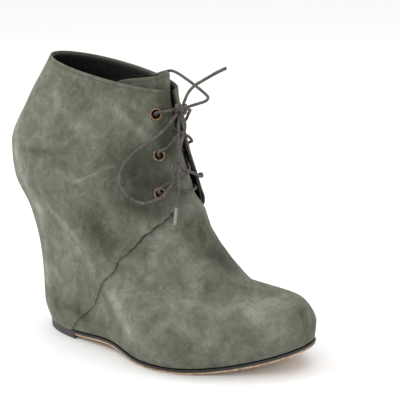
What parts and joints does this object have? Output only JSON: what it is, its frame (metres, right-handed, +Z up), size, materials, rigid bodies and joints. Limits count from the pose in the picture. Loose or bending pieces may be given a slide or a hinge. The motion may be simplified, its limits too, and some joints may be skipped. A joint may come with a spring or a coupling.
{
  "type": "wedge ankle boot",
  "caption": "Suede lace-up ankle boot for the right foot, with a high covered wedge, a low shaft open at the collar, metal eyelets and a thin sole.",
  "frame": {"origin": "middle of the boot's bounding box, on the floor under the sole", "axes": "+X to the toe, +Y to the wearer's left, which is the inner side of this right boot, +Z up"},
  "size_m": [0.2319, 0.0924, 0.1975],
  "materials": {
    "suede": "matt grey-green suede with a cloudy nap",
    "lining": "black lining leather",
    "wedge_block": "plain block, covered by the suede and the insole",
    "sole_leather": "tan sole leather with a dark edge",
    "heel_rubber": "dark grey rubber",
    "eyelet_brass": "antique brass, dull",
    "lace_cord": "round waxed cord"
  },
  "bodies": {
    "root": {"upper": "suede", "tongue": "suede", "insole": "lining", "wedge": "wedge_block", "outsole": "sole_leather", "heel_cap": "heel_rubber", "eyelet_near_1": "eyelet_brass", "eyelet_near_2": "eyelet_brass", "eyelet_near_3": "eyelet_brass", "eyelet_far_1": "eyelet_brass", "eyelet_far_2": "eyelet_brass", "eyelet_far_3": "eyelet_brass", "lace_bar": "lace_cord", "lace_tie": "lace_cord", "lace_cross_1": "lace_cord", "lace_cross_2": "lace_cord", "lace_knot": "lace_cord", "lace_loop_near": "lace_cord", "lace_loop_far": "lace_cord", "lace_end_up": "lace_cord", "lace_end_down": "lace_cord"}
  },
  "joints": []
}
